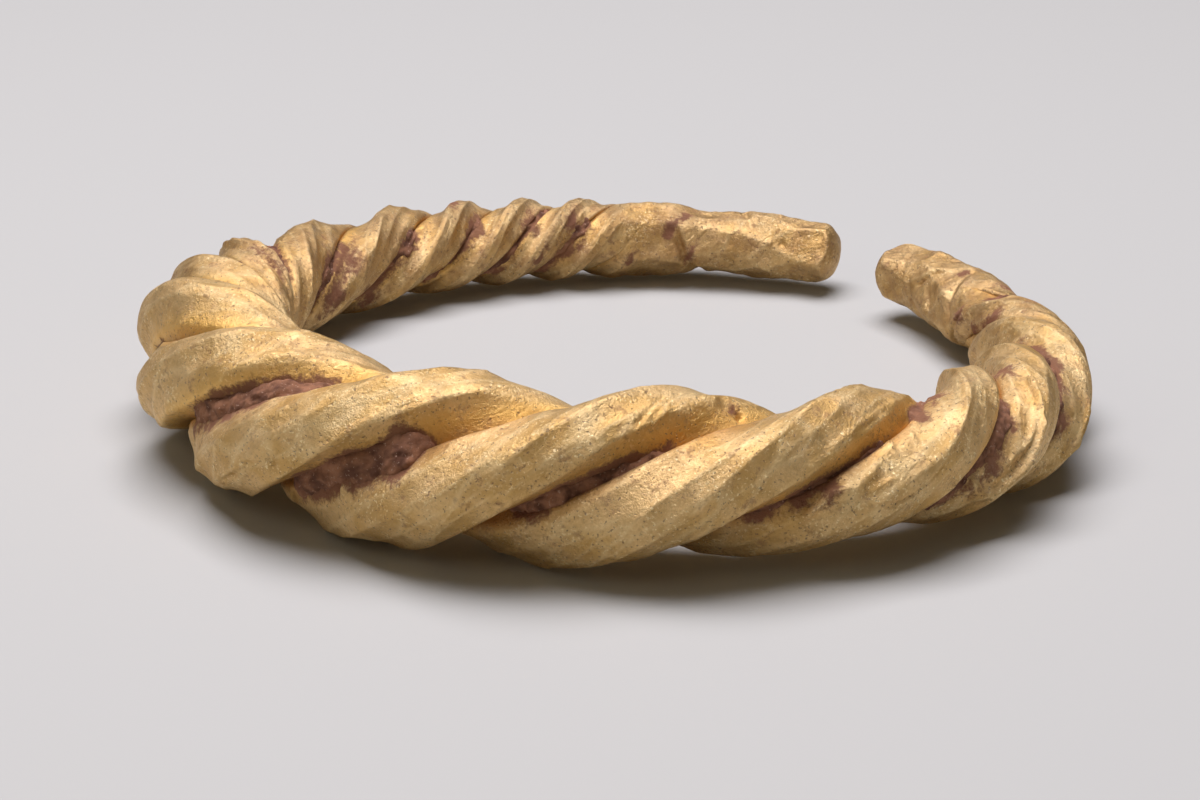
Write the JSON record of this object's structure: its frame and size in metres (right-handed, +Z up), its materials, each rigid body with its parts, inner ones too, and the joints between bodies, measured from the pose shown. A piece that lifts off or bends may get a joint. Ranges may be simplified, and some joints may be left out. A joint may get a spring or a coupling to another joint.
{
  "type": "gold torc",
  "caption": "Open penannular arm-ring of tapered hammered gold rods twisted together, thick at the middle, with its ends hammered into plain solid terminals.",
  "frame": {"origin": "on the surface that the torc lies on, under the middle of its bounding box", "axes": "+Z up, square to the hoop as it lies; +X along its longest extent; -Y towards the thick middle of the hoop, +Y towards the open ends"},
  "size_m": [0.0674, 0.0662, 0.0124],
  "materials": {
    "gold": "old hammered gold, worn matt with fine scratches, soil in the grooves",
    "soil": "dry reddish-brown burial soil, gritty, caught in the grooves"
  },
  "bodies": {
    "root": {"rod_1": "gold", "rod_2": "gold", "rod_3": "gold"}
  },
  "joints": []
}
